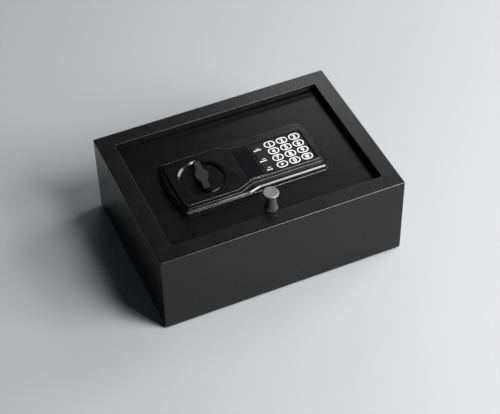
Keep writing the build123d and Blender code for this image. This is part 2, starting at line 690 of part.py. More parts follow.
def turn_knob():
    """Round knob disc with its raised grip."""
    disc = post(KNOB_X, KNOB_Y, KNOB_DISC_RADIUS, KNOB_DISC_BOTTOM, KNOB_DISC_TOP)
    disc = fillet(level_edges(disc, KNOB_DISC_TOP), KNOB_DISC_EDGE)
    grip = extrude(Pos(0, 0, KNOB_DISC_TOP) * grip_outline(1.0), GRIP_TOP - KNOB_DISC_TOP)
    return disc + grip


def grip_insert():
    """Knurled face set on top of the grip."""
    face = extrude(Pos(0, 0, GRIP_TOP) * grip_outline(GRIP_FACE_SCALE), GRIP_FACE_TOP - GRIP_TOP)
    return chamfer(level_edges(face, GRIP_FACE_TOP), GRIP_FACE_CHAMFER)


def spindle():
    """Shaft from the knob down to the cam."""
    return post(KNOB_X, KNOB_Y, SPINDLE_RADIUS, CAM_TOP, KNOB_DISC_BOTTOM)


def spindle_bush():
    """Bush for the spindle, fixed in the lid."""
    bush = post(KNOB_X, KNOB_Y, SPINDLE_BUSH_RADIUS, LID_BOTTOM, LID_TOP)
    return bush - post(KNOB_X, KNOB_Y, SPINDLE_RADIUS + RUNNING_FIT, LID_BOTTOM, LID_TOP)


def spindle_clip():
    """Retaining ring on the spindle, under the lid."""
    top = LID_BOTTOM - SPINDLE_CLIP_GAP
    bottom = top - SPINDLE_CLIP
    ring = post(KNOB_X, KNOB_Y, SPINDLE_CLIP_RADIUS, bottom, top)
    ring -= post(KNOB_X, KNOB_Y, SPINDLE_RADIUS, bottom, top)
    return ring - block(KNOB_X, KNOB_X + SPINDLE_CLIP_RADIUS + 1,
                        KNOB_Y - SPINDLE_CLIP_OPENING / 2, KNOB_Y + SPINDLE_CLIP_OPENING / 2,
                        bottom, top)


def cam_pin_point():
    """Where the cam pin stands with the bolts drawn in: half the travel behind the spindle."""
    back = BOLT_TRAVEL / 2
    return KNOB_X - (CAM_RADIUS_TO_PIN ** 2 - back ** 2) ** 0.5, KNOB_Y + back


def cam():
    """Disc on the spindle, with the pin that drives the carriage."""
    x, y = cam_pin_point()
    disc = post(KNOB_X, KNOB_Y, CAM_DISC_RADIUS, CAM_BOTTOM, CAM_TOP)
    return disc + post(x, y, CAM_PIN_RADIUS, CARRIAGE_BOTTOM, CAM_BOTTOM)


def bolt_carriage():
    """Sliding plate: cross bar with a tab for each bolt, and an arm with the cam slot."""
    pin_x, pin_y = cam_pin_point()
    plate = block(-BOLT_X - TAB_HALF, BOLT_X + TAB_HALF, BOLT_TAIL_Y - SHEET, CARRIAGE_BAR_BACK,
                  CARRIAGE_BOTTOM, CARRIAGE_TOP)
    plate += block(ARM_LEFT, ARM_RIGHT, CARRIAGE_BAR_BACK, ARM_BACK, CARRIAGE_BOTTOM, CARRIAGE_TOP)
    slot_half = CAM_PIN_RADIUS + CAM_PIN_SLACK
    plate -= block(pin_x - CAM_SLOT_LEFT, pin_x + CAM_SLOT_RIGHT, pin_y - slot_half, pin_y + slot_half,
                   CARRIAGE_BOTTOM, CARRIAGE_TOP)
    for notch_y in (NOTCH_Y, NOTCH_Y + BOLT_TRAVEL):
        plate -= block(ARM_RIGHT - NOTCH_DEPTH, ARM_RIGHT, notch_y - NOTCH_WIDTH / 2,
                       notch_y + NOTCH_WIDTH / 2, CARRIAGE_BOTTOM, CARRIAGE_TOP)
    slack = STUD_RADIUS + STUD_SLACK
    for x in (-STUD_X, STUD_X):
        plate -= block(x - slack, x + slack, STUD_Y - slack, STUD_Y + BOLT_TRAVEL + slack,
                       CARRIAGE_BOTTOM, CARRIAGE_TOP)
    for x in (-BOLT_X, BOLT_X):
        plate += block(x - TAB_HALF, x + TAB_HALF, BOLT_TAIL_Y - SHEET, BOLT_TAIL_Y,
                       BOLT_Z - BOLT_RADIUS, CARRIAGE_BOTTOM)
    return plate


def live_bolts():
    """Two round bolts riveted to the carriage's tabs."""
    bolts = []
    for x in (-BOLT_X, BOLT_X):
        bolt = bar_y(x, BOLT_Z, BOLT_RADIUS, BOLT_TIP_Y, BOLT_TAIL_Y - SHEET)
        tip = [e for e in bolt.edges() if abs(e.center().Y - BOLT_TIP_Y) < 0.01]
        bolts.append(chamfer(tip, BOLT_CHAMFER))
    return bolts


def bolt_guide_plate():
    """Plate welded under the lid's front edge, which the bolts slide through."""
    front = GUIDE_PLATE_BACK - GUIDE_PLATE
    plate = block(-GUIDE_PLATE_X, GUIDE_PLATE_X, front, GUIDE_PLATE_BACK,
                  GUIDE_PLATE_BOTTOM, LID_BOTTOM)
    for x in (-BOLT_X, BOLT_X):
        plate -= bar_y(x, BOLT_Z, BOLT_RADIUS + BOLT_CLEARANCE, front, GUIDE_PLATE_BACK)
    return plate


def carriage_studs():
    """Shoulder studs that carry the carriage and guide its slots."""
    studs = []
    for x in (-STUD_X, STUD_X):
        head_top = CARRIAGE_BOTTOM - STUD_HEAD_GAP
        studs.append(post(x, STUD_Y, STUD_RADIUS, head_top, LID_BOTTOM + LID_STUD_DEPTH)
                     + post(x, STUD_Y, STUD_HEAD_RADIUS, head_top - STUD_HEAD, head_top))
    return studs


def plunger_height():
    """The plunger lies in the middle of the carriage's thickness."""
    return CARRIAGE_BOTTOM + CARRIAGE / 2


def solenoid_coil():
    """Solenoid beside the carriage's arm, on the underside of the lid."""
    half = LID_BOTTOM - plunger_height()
    coil = block(COIL_LEFT, COIL_RIGHT, NOTCH_Y - half, NOTCH_Y + half, plunger_height() - half,
                 LID_BOTTOM)
    return coil - bar_x(NOTCH_Y, plunger_height(), PLUNGER_RADIUS + PLUNGER_CLEARANCE,
                        COIL_LEFT, COIL_BORE_END)


def solenoid_plunger():
    """Plunger that enters a notch in the carriage's arm to hold it."""
    rod = bar_x(NOTCH_Y, plunger_height(), PLUNGER_RADIUS, PLUNGER_TIP_X, PLUNGER_TAIL_X)
    return rod + bar_x(NOTCH_Y, plunger_height(), PLUNGER_COLLAR_RADIUS, *PLUNGER_COLLAR)


def tray_screw_points():
    """Screws along the tray's side and back flanges."""
    x = TRAY_X + TRAY_FLANGE / 2
    y = TRAY_BACK + TRAY_FLANGE / 2
    side_screws = [(sx * x, side_y) for sx in (-1, 1) for side_y in TRAY_SIDE_SCREWS]
    return side_screws + [(-TRAY_BACK_SCREW, y), (TRAY_BACK_SCREW, y)]


def mechanism_cover():
    """Sheet tray that covers the mechanism from below, open at the guide plate."""
    tray = block(-TRAY_X, TRAY_X, GUIDE_PLATE_BACK, TRAY_BACK, TRAY_BOTTOM, LID_BOTTOM)
    tray -= block(-TRAY_X + TRAY_SHEET, TRAY_X - TRAY_SHEET, GUIDE_PLATE_BACK,
                  TRAY_BACK - TRAY_SHEET, TRAY_BOTTOM + TRAY_SHEET, LID_BOTTOM)
    flange = block(-TRAY_X - TRAY_FLANGE, TRAY_X + TRAY_FLANGE, GUIDE_PLATE_BACK,
                   TRAY_BACK + TRAY_FLANGE, LID_BOTTOM - TRAY_SHEET, LID_BOTTOM)
    flange -= block(-TRAY_X, TRAY_X, GUIDE_PLATE_BACK, TRAY_BACK, LID_BOTTOM - TRAY_SHEET, LID_BOTTOM)
    tray += flange
    tray -= block(BATTERY_BOX_LEFT, BATTERY_BOX_RIGHT, BATTERY_BOX_FRONT, BATTERY_BOX_BACK,
                  TRAY_BOTTOM, TRAY_BOTTOM + TRAY_SHEET)
    tray -= post(RESET_X, RESET_Y, RESET_RADIUS + RESET_CLEARANCE, TRAY_BOTTOM, TRAY_BOTTOM + TRAY_SHEET)
    for x, y in tray_screw_points():
        tray -= post(x, y, TRAY_SCREW_RADIUS, LID_BOTTOM - TRAY_SHEET, LID_BOTTOM)
    return tray


def cover_screws():
    """Six screws that hold the tray."""
    screws = []
    top = LID_BOTTOM - TRAY_SHEET
    for x, y in tray_screw_points():
        screws.append(post(x, y, TRAY_SCREW_HEAD_RADIUS, top - TRAY_SCREW_HEAD, top)
                      + post(x, y, TRAY_SCREW_RADIUS, top, LID_BOTTOM + LID_SCREW_DEPTH))
    return screws


def battery_box():
    """Open-bottomed box for the cells."""
    wall = BATTERY_BOX_WALL
    roof = LID_BOTTOM - wall
    box = block(BATTERY_BOX_LEFT, BATTERY_BOX_RIGHT, BATTERY_BOX_FRONT, BATTERY_BOX_BACK,
                TRAY_BOTTOM, LID_BOTTOM)
    return box - block(BATTERY_BOX_LEFT + wall, BATTERY_BOX_RIGHT - wall,
                       BATTERY_BOX_FRONT + wall, BATTERY_BOX_BACK - wall, TRAY_BOTTOM, roof)


def batteries():
    """Four AA cells side by side, each with its raised contact."""
    middle_x = (BATTERY_BOX_LEFT + BATTERY_BOX_RIGHT) / 2
    middle_y = (BATTERY_BOX_FRONT + BATTERY_BOX_BACK) / 2
    z = (TRAY_BOTTOM + LID_BOTTOM) / 2
    cells = []
    for i in range(BATTERY_COUNT):
        x = middle_x + (i - (BATTERY_COUNT - 1) / 2) * BATTERY_PITCH
        turn = 1 if i % 2 else -1
        end = middle_y + turn * BATTERY_LENGTH / 2
        shoulder = end - turn * CONTACT_HEIGHT
        cell = bar_y(x, z, BATTERY_RADIUS, middle_y - turn * BATTERY_LENGTH / 2, shoulder)
        cells.append(cell + bar_y(x, z, CONTACT_RADIUS, shoulder, end))
    return cells


def battery_cover():
    """Cover that slides back off the battery box."""
    top = TRAY_BOTTOM - BATTERY_COVER_GAP
    bottom = top - BATTERY_COVER
    lid = rounded_block(BATTERY_BOX_LEFT - BATTERY_COVER_LAP, BATTERY_BOX_RIGHT + BATTERY_COVER_LAP,
                        BATTERY_BOX_FRONT - BATTERY_COVER_LAP, BATTERY_BOX_BACK + BATTERY_COVER_LAP,
                        bottom, top, BATTERY_COVER_CORNER)
    middle = (BATTERY_BOX_LEFT + BATTERY_BOX_RIGHT) / 2
    for i in range(THUMB_RIBS):
        y = BATTERY_BOX_FRONT + THUMB_RIB_START + THUMB_RIB_PITCH * i
        lid += block(middle - THUMB_RIB_HALF, middle + THUMB_RIB_HALF, y, y + THUMB_RIB_WIDTH,
                     bottom - THUMB_RIB_HEIGHT, bottom)
    return lid


def reset_switch():
    """Switch on the tray's floor that the reset button works."""
    bottom = TRAY_BOTTOM + TRAY_SHEET
    switch = block(RESET_X - SWITCH_HALF, RESET_X + SWITCH_HALF,
                   RESET_Y - SWITCH_HALF, RESET_Y + SWITCH_HALF, bottom, bottom + SWITCH_HEIGHT)
    return switch - post(RESET_X, RESET_Y, RESET_RADIUS + RESET_CLEARANCE, bottom,
                         bottom + SWITCH_BORE)


def reset_button():
    """Small button that sticks out under the tray."""
    tip = TRAY_BOTTOM - RESET_PROUD
    button = post(RESET_X, RESET_Y, RESET_RADIUS, tip, tip + RESET_LENGTH)
    return fillet(level_edges(button, tip), RESET_EDGE)


def write(name, shape):
    """Write one node; a list of solids becomes one group of separate solids."""
    if isinstance(shape, list):
        shape = Compound(children=[piece.solid() for piece in shape])
    export_step(shape, f"parts/{name}.step")


PIECES = [outer_shell, base_plate, floor_mat, rubber_feet, lid_stop_rails, lid_bumpers, keeper_plate,
          hinge_bushes, lid_plate, hinge_pins, pull_knob, pull_knob_screw, panel_base, panel_housing,
          panel_cover, panel_screws, keypad_bezel, keypad_plate, indicator_lenses, keypad_board,
          centre_cover, lock_body, lock_nut, key_plug, key_plug_cam, turn_knob, grip_insert, spindle,
          spindle_bush, spindle_clip, cam, bolt_carriage, live_bolts, bolt_guide_plate,
          carriage_studs, solenoid_coil, solenoid_plunger, mechanism_cover, cover_screws,
          battery_box, batteries, battery_cover, reset_switch, reset_button]

os.makedirs("parts", exist_ok=True)
for piece in PIECES:
    write(piece.__name__, piece())
for row, names in enumerate(KEY_ROWS):
    for column, name in enumerate(names):
        write(f"key_{name}", key(row, column))
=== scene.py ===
import json
import math

import bmesh
import bpy
from mathutils import Matrix, Vector


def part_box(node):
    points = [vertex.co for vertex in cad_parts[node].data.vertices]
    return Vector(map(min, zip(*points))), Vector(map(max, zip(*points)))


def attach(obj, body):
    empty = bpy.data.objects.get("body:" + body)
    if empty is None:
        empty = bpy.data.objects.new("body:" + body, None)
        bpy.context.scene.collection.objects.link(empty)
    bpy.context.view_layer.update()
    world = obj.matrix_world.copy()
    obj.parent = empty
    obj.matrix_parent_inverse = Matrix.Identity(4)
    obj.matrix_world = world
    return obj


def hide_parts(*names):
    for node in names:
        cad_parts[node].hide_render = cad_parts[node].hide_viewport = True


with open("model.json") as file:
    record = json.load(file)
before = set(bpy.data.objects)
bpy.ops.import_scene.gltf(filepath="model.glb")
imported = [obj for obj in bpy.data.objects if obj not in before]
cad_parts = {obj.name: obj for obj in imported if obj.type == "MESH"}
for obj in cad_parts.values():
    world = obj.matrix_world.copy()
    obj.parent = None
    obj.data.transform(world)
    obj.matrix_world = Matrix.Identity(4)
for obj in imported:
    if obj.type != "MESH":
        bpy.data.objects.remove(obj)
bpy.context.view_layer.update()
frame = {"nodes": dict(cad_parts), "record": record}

MM = 0.001

# Knurl of the grip. A pyramid's half width along and across the grip is a share of the pitch.
KNURL_HEIGHT = 0.6 * MM
KNURL_PITCH = 2.7 * MM
KNURL_ALONG = 0.5
KNURL_ACROSS = 0.8
KNURL_BASE_SHARE = 0.97
KNURL_TOP_SHARE = 0.52
KNURL_SINK = 0.05 * MM
KNURL_MARGIN = 0.75 * MM
GRIP_REACH = 30 * MM
GRIP_TURN = math.radians(-6.0)


# ---------------------------------------------------------------- camera, floor and light

VIEW_AZIMUTH = math.radians(-23.0)
VIEW_ELEVATION = math.radians(45.75)
VIEW_ROLL = math.radians(-1.37)
VIEW_DISTANCE = 1.7694
VIEW_AIM = Vector((-0.0024, -0.0133, 0.0470))
LENS_MM = 103.9

FLOOR_HALF = 4.0
WORLD_COLOUR = (0.80, 0.84, 0.92, 1)
WORLD_STRENGTH = 0.05

# Name, place, point it shines at, width and height, power.
LIGHTS = [
    ("window", (1.20, -1.29, 1.25), (0.0, 0.0, 0.08), (1.3, 1.0), 80),
    ("edges", (0.64, -0.84, 1.84), (0.0, 0.0, 0.10), (0.35, 0.8), 32),
    ("side", (1.55, 0.30, 1.05), (0.0, 0.0, 0.08), (0.8, 1.1), 24),
    ("sheen", (1.0, 1.6, 1.25), (0.1, 0.1, 0.08), (0.6, 0.6), 5.0),
    ("rim", (0.55, 2.0, 0.50), (0.0, 0.0, 0.10), (0.9, 0.25), 4),
]


def make_camera():
    """The camera looks down on the safe from its front left."""
    cos_e = math.cos(VIEW_ELEVATION)
    back = Vector((math.sin(VIEW_AZIMUTH) * cos_e, -math.cos(VIEW_AZIMUTH) * cos_e,
                   math.sin(VIEW_ELEVATION)))
    right = Vector((0, 0, 1)).cross(back).normalized()
    up = back.cross(right)
    turn = Matrix((right, up, back)).transposed() @ Matrix.Rotation(VIEW_ROLL, 3, "Z")
    data = bpy.data.cameras.new("camera")
    data.lens = LENS_MM
    camera = bpy.data.objects.new("camera", data)
    camera.matrix_world = Matrix.Translation(VIEW_AIM + back * VIEW_DISTANCE) @ turn.to_4x4()
    bpy.context.scene.collection.objects.link(camera)
    bpy.context.scene.camera = camera


def add_area_light(name, place, aim, size, power):
    """A soft rectangular light that shines from place towards aim."""
    data = bpy.data.lights.new(name, "AREA")
    data.shape = "RECTANGLE"
    data.size, data.size_y = size
    data.energy = power
    light = bpy.data.objects.new(name, data)
    turn = (Vector(aim) - Vector(place)).to_track_quat("-Z", "Y")
    light.matrix_world = Matrix.Translation(place) @ turn.to_matrix().to_4x4()
    bpy.context.scene.collection.objects.link(light)


def make_studio():
    """A pale floor, dim surroundings and the soft lights."""
    world = bpy.data.worlds.new("studio")
    bpy.context.scene.world = world
    world.use_nodes = True
    background = world.node_tree.nodes["Background"]
    background.inputs["Color"].default_value = WORLD_COLOUR
    background.inputs["Strength"].default_value = WORLD_STRENGTH
    mesh = bpy.data.meshes.new("studio_floor")
    corners = [(x * FLOOR_HALF, y * FLOOR_HALF, 0) for x, y in ((-1, -1), (1, -1), (1, 1), (-1, 1))]
    mesh.from_pydata(corners, [], [(0, 1, 2, 3)])
    floor = bpy.data.objects.new("studio_floor", mesh)
    bpy.context.scene.collection.objects.link(floor)
    mesh.materials.append(floor_material())
    for light in LIGHTS:
        add_area_light(*light)


# ---------------------------------------------------------------- materials

# Noise seldom leaves this range, so this is the range that is stretched.
NOISE_RANGE = (0.3, 0.7)
SMEAR_SHARE = 0.4
CELL_SLEEVE = (-0.020, 0.030)


class Surface:
    """A node material under construction, with short calls for its textures."""

    def __init__(self, name, colour, roughness, metallic=0.0):
        self.material = bpy.data.materials.new(name)
        self.material.use_nodes = True
        self.tree = self.material.node_tree
        self.shader = self.tree.nodes["Principled BSDF"]
        self.shader.inputs["Base Color"].default_value = (*colour, 1)
        self.shader.inputs["Roughness"].default_value = roughness
        self.shader.inputs["Metallic"].default_value = metallic
        self.coordinates = self.tree.nodes.new("ShaderNodeTexCoord").outputs["Object"]

    def node(self, kind, **settings):
        made = self.tree.nodes.new(kind)
        for key, value in settings.items():
            if key in made.inputs:
                made.inputs[key].default_value = value
            else:
                setattr(made, key, value)
        return made

    def link(self, source, target):
        self.tree.links.new(source, target)

    def stretched(self, scale):
        """Object coordinates scaled differently along each axis."""
        mapping = self.node("ShaderNodeMapping", Scale=scale)
        self.link(self.coordinates, mapping.inputs["Vector"])
        return mapping.outputs["Vector"]

    def noise(self, size_mm, detail, coordinates=None, rough=0.5):
        """Noise whose features are about size_mm across."""
        scale = 1.0 / (size_mm * MM)
        made = self.node("ShaderNodeTexNoise", Scale=scale, Detail=detail, Roughness=rough)
        self.link(coordinates or self.coordinates, made.inputs["Vector"])
        return made.outputs["Fac"]

    def voronoi(self, size_mm, feature="F1"):
        """Cells that are about size_mm across."""
        made = self.node("ShaderNodeTexVoronoi", Scale=1.0 / (size_mm * MM), feature=feature)
        self.link(self.coordinates, made.inputs["Vector"])
        return made.outputs["Distance"]

    def ramp(self, factor, stops):
        """A colour ramp through (place, colour) stops."""
        made = self.node("ShaderNodeValToRGB")
        elements = made.color_ramp.elements
        for index, (place, colour) in enumerate(stops):
            element = elements[index] if index < 2 else elements.new(place)
            element.position = place
            element.color = (*colour, 1)
        self.link(factor, made.inputs["Fac"])
        return made.outputs["Color"]

    def tint(self, factor, dark, pale):
        """A colour that runs from dark to pale over the noise's range."""
        return self.ramp(factor, list(zip(NOISE_RANGE, (dark, pale))))

    def rescaled(self, value, start, end, low=0.0, high=1.0):
        """The value, with start to end stretched to run from low to high."""
        made = self.node("ShaderNodeMapRange")
        made.inputs["From Min"].default_value = start
        made.inputs["From Max"].default_value = end
        made.inputs["To Min"].default_value = low
        made.inputs["To Max"].default_value = high
        self.link(value, made.inputs["Value"])
        return made.outputs["Result"]

    def spread(self, factor, low, high):
        """The noise's range, stretched to run from low to high."""
        return self.rescaled(factor, *NOISE_RANGE, low, high)

    def axis(self, letter):
        """One axis of the object coordinates."""
        parts = self.node("ShaderNodeSeparateXYZ")
        self.link(self.coordinates, parts.inputs["Vector"])
        return parts.outputs[letter]

    def colour(self, socket):
        self.link(socket, self.shader.inputs["Base Color"])

    def roughness(self, socket):
        self.link(socket, self.shader.inputs["Roughness"])

    def bump(self, height, depth_mm, strength=1.0):
        """Adds relief; a second call lies on top of the first."""
        made = self.node("ShaderNodeBump", Strength=strength, Distance=depth_mm * MM)
        self.link(height, made.inputs["Height"])
        normal = self.shader.inputs["Normal"]
        if normal.is_linked:
            self.link(normal.links[0].from_socket, made.inputs["Normal"])
        self.link(made.outputs["Normal"], normal)


def shade(colour, factor):
    """The colour made darker or paler by a factor."""
    return tuple(channel * factor for channel in colour)


def mottled(name, colour, roughness, variation, blotch_mm, grain_mm, grain_depth_mm,
            roughness_spread=0.05):
    """A surface with soft blotches of tone, uneven gloss and a fine grain."""
    surface = Surface(name, colour, roughness)
    blotch = surface.noise(blotch_mm, detail=4.0)
    surface.colour(surface.tint(blotch, shade(colour, 1 - variation), shade(colour, 1 + variation)))
    smear = surface.noise(blotch_mm * SMEAR_SHARE, detail=5.0, rough=0.6)
    surface.roughness(surface.spread(smear, roughness - roughness_spread, roughness + roughness_spread))
    surface.bump(surface.noise(grain_mm, detail=3.0), grain_depth_mm)
    return surface


def floor_material():
    """Matt pale grey with very faint, very broad blotches."""
    surface = mottled("studio_floor", (0.30, 0.304, 0.312), 0.80, variation=0.015, blotch_mm=400.0,
                      grain_mm=3.0, grain_depth_mm=0.02)
    return surface.material


def coated_steel(name, colour, roughness, ior):
    """Fine powder coat: orange peel, soft blotches of tone and slightly uneven gloss."""
    surface = mottled(name, colour, roughness, variation=0.10, blotch_mm=60.0, grain_mm=1.2,
                      grain_depth_mm=0.010, roughness_spread=0.03)
    surface.bump(surface.voronoi(0.6, "SMOOTH_F1"), depth_mm=0.004, strength=0.6)
    surface.shader.inputs["IOR"].default_value = ior
    return surface.material


def powder_coat():
    return coated_steel("powder_coat", (0.0030, 0.0030, 0.0032), roughness=0.28, ior=1.40)


def lid_coat():
    """The lid's coat is a shade darker than the box's."""
    return coated_steel("lid_coat", (0.0018, 0.0018, 0.0020), roughness=0.28, ior=1.28)


def moulded_plastic(name, colour, roughness, grain_mm=0.25, grain_depth_mm=0.006):
    """Moulded plastic with a fine, shallow grain."""
    surface = mottled(name, colour, roughness, variation=0.08, blotch_mm=25.0, grain_mm=grain_mm,
                      grain_depth_mm=grain_depth_mm, roughness_spread=0.04)
    return surface.material


def panel_plastic():
    return moulded_plastic("panel_plastic", (0.0018, 0.0018, 0.0020), 0.18,
                           grain_mm=0.6, grain_depth_mm=0.0015)


def gloss_black():
    """Polished plate with faint smears in its gloss."""
    surface = mottled("gloss_black", (0.003, 0.003, 0.0033), 0.10, variation=0.05, blotch_mm=18.0,
                      grain_mm=3.0, grain_depth_mm=0.002)
    surface.shader.inputs["Coat Weight"].default_value = 0.6
    surface.shader.inputs["Coat Roughness"].default_value = 0.06
    return surface.material


def keypad_plastic():
    """Satin face with a pebbled texture."""
    surface = mottled("keypad_plastic", (0.0040, 0.0040, 0.0043), 0.34, variation=0.15, blotch_mm=8.0,
                      grain_mm=0.5, grain_depth_mm=0.01)
    surface.bump(surface.voronoi(0.55), depth_mm=0.02, strength=0.8)
    surface.shader.inputs["IOR"].default_value = 1.34
    return surface.material


def key_plastic():
    return moulded_plastic("key_plastic", (0.006, 0.006, 0.0065), 0.34)


def print_white():
    """Screen-printed white ink, slightly uneven."""
    surface = mottled("print_white", (0.70, 0.70, 0.69), 0.5, variation=0.04, blotch_mm=3.0,
                      grain_mm=0.2, grain_depth_mm=0.004)
    return surface.material


def lens():
    """Smooth grey window of an indicator."""
    surface = mottled("lens", (0.30, 0.30, 0.32), 0.12, variation=0.08, blotch_mm=2.0,
                      grain_mm=0.4, grain_depth_mm=0.003)
    return surface.material


def knurled_rubber():
    """Grey on the knurl's tops, with painted shade that darkens it down into its grooves."""
    surface = Surface("knurled_rubber", (0.03, 0.03, 0.03), 0.55)
    surface.shader.inputs["IOR"].default_value = 1.30
    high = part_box("grip_insert")[1]
    # Painted shade: the ramp runs from near black low in the grooves to grey on the knurl's tops.
    height = surface.rescaled(surface.axis("Z"), high.z - KNURL_HEIGHT, high.z)
    surface.colour(surface.ramp(height, [(0.35, (0.001, 0.001, 0.001)),
                                         (0.98, (0.035, 0.035, 0.036))]))
    surface.bump(surface.noise(0.3, detail=3.0), depth_mm=0.004)
    return surface.material


def turned_metal(name, colour, roughness, metallic):
    """Metal with fine streaks running round its upright axis."""
    surface = Surface(name, colour, roughness, metallic)
    streak = surface.noise(0.35, detail=4.0, coordinates=surface.stretched((0.06, 0.06, 1.0)))
    surface.colour(surface.tint(streak, shade(colour, 0.86), shade(colour, 1.12)))
    surface.roughness(surface.spread(streak, roughness - 0.07, roughness + 0.09))
    surface.bump(streak, depth_mm=0.006)
    surface.bump(surface.noise(0.6, detail=3.0), depth_mm=0.006)
    return surface.material


def dark_metal():
    return turned_metal("dark_metal", (0.26, 0.26, 0.265), roughness=0.36, metallic=0.85)


def zinc_steel():
    """Zinc plate: pale grey with large faint crystals."""
    colour = (0.46, 0.47, 0.47)
    surface = Surface("zinc_steel", colour, 0.34, 1.0)
    crystal = surface.voronoi(6.0)
    surface.colour(surface.ramp(crystal, [(0.1, shade(colour, 0.85)), (0.8, shade(colour, 1.15))]))
    surface.roughness(surface.spread(surface.noise(2.0, detail=4.0), 0.26, 0.42))
    surface.bump(surface.noise(0.4, detail=3.0), depth_mm=0.006)
    return surface.material


def bright_steel():
    return turned_metal("bright_steel", (0.60, 0.60, 0.60), roughness=0.26, metallic=1.0)


def brass():
    return turned_metal("brass", (0.62, 0.45, 0.19), roughness=0.30, metallic=1.0)


def nylon():
    return moulded_plastic("nylon", (0.62, 0.60, 0.55), 0.48)


def rubber():
    return moulded_plastic("rubber", (0.018, 0.018, 0.018), 0.72, grain_mm=0.4, grain_depth_mm=0.02)


def felt():
    """Pressed fibres: a fuzzy dark grey cloth."""
    colour = (0.050, 0.051, 0.055)
    surface = Surface("felt", colour, 0.95)
    fibre = surface.noise(0.8, detail=6.0, rough=0.75)
    surface.colour(surface.tint(fibre, shade(colour, 0.55), shade(colour, 1.5)))
    surface.shader.inputs["Sheen Weight"].default_value = 0.35
    surface.shader.inputs["Sheen Roughness"].default_value = 0.5
    surface.bump(fibre, depth_mm=0.25, strength=0.8)
    surface.bump(surface.noise(6.0, detail=3.0), depth_mm=0.3, strength=0.4)
    return surface.material


def circuit_board():
    """Green solder mask over a maze of copper tracks."""
    surface = Surface("circuit_board", (0.02, 0.12, 0.05), 0.35)
    track = surface.voronoi(2.4, "DISTANCE_TO_EDGE")
    surface.colour(surface.ramp(track, [(0.06, (0.03, 0.20, 0.08)), (0.12, (0.015, 0.09, 0.04))]))
    surface.bump(track, depth_mm=0.03)
    return surface.material


def coil():
    """Enamelled wire wound side by side under tape."""
    surface = Surface("coil", (0.10, 0.06, 0.03), 0.38)
    turns = surface.node("ShaderNodeTexWave", Scale=160.0, bands_direction="X", Distortion=0.4)
    surface.link(surface.coordinates, turns.inputs["Vector"])
    surface.colour(surface.ramp(turns.outputs["Fac"], [(0.2, (0.05, 0.03, 0.015)),
                                                       (0.8, (0.16, 0.09, 0.04))]))
    surface.bump(turns.outputs["Fac"], depth_mm=0.15)
    return surface.material


def inner_plastic():
    return moulded_plastic("inner_plastic", (0.028, 0.028, 0.030), 0.5,
                           grain_mm=0.35, grain_depth_mm=0.02)


def cell():
    """Printed sleeve with a copper-coloured band near one end."""
    surface = Surface("cell", (0.03, 0.05, 0.12), 0.28, 0.4)
    along = surface.rescaled(surface.axis("Y"), *CELL_SLEEVE)
    surface.colour(surface.ramp(along, [
        (0.0, (0.02, 0.03, 0.08)), (0.55, (0.03, 0.05, 0.12)), (0.72, (0.05, 0.05, 0.055)),
        (0.80, (0.55, 0.36, 0.14))]))
    surface.bump(surface.noise(1.0, detail=3.0), depth_mm=0.01)
    return surface.material


def red_plastic():
    return moulded_plastic("red_plastic", (0.42, 0.02, 0.015), 0.30)


MAKERS = [powder_coat, lid_coat, panel_plastic, gloss_black, keypad_plastic, key_plastic, print_white,
          lens, knurled_rubber, dark_metal, zinc_steel, bright_steel, brass, nylon, rubber, felt,
          circuit_board, coil, inner_plastic, cell, red_plastic]
MATERIALS = {maker.__name__: maker() for maker in MAKERS}


def dress_cad_nodes():
    """Gives each CAD node the material of its slot in the record, and the lid its own shade."""
    for part in frame["record"]["subparts"]:
        node = frame["nodes"][part["node"]]
        node.data.materials.clear()
        finish = "lid_coat" if part["node"] == "lid_plate" else part["material_slot"]
        node.data.materials.append(MATERIALS[finish])


# ---------------------------------------------------------------- pieces

def add_piece(name, mesh, body, material, smooth_degrees=None):
    """Links a mesh as a piece that rides on a body; material names the finish it is given."""
    mesh.name = name
    mesh.materials.clear()
    mesh.materials.append(MATERIALS[material])
    piece = bpy.data.objects.new(name, mesh)
    bpy.context.scene.collection.objects.link(piece)
    if smooth_degrees is not None:
        mesh.shade_smooth()
        mesh.set_sharp_from_angle(angle=math.radians(smooth_degrees))
    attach(piece, body)
    return piece


def mesh_from(build):
    """Runs build on an empty bmesh and returns the mesh."""
    work = bmesh.new()
    build(work)
    bmesh.ops.recalc_face_normals(work, faces=work.faces)
    mesh = bpy.data.meshes.new("piece")
    work.to_mesh(mesh)
    work.free()
    return mesh


def close_prism(work, bottom, top):
    """Joins two rings of vertices with side faces and closes both ends."""
    for i in range(len(bottom)):
        j = (i + 1) % len(bottom)
        work.faces.new((bottom[i], bottom[j], top[j], top[i]))
    work.faces.new(bottom[::-1])
    work.faces.new(top)


def rounded_loop(length, width, radius, steps=10):
    """Points round a rectangle with round corners, centred on the origin."""
    points = []
    for corner in range(4):
        sign_x = 1 if corner in (0, 3) else -1
        sign_y = 1 if corner in (0, 1) else -1
        centre = Vector((sign_x * (length / 2 - radius), sign_y * (width / 2 - radius)))
        for step in range(steps + 1):
            angle = math.radians(90 * corner + 90 * step / steps)
            points.append(centre + radius * Vector((math.cos(angle), math.sin(angle))))
    return points


RING_WIDTH = 1.15 * MM
RING_EDGE_GAP = 0.35 * MM
RING_ROUNDNESS = 0.48
PRINT_HEIGHT = 0.05 * MM
PRINT_SMOOTH_DEGREES = 40
DIGIT_SIZE = 8.2 * MM
DIGIT_WEIGHT = 0.022
KEY_LABELS = {"star": "*", "hash": "#"}


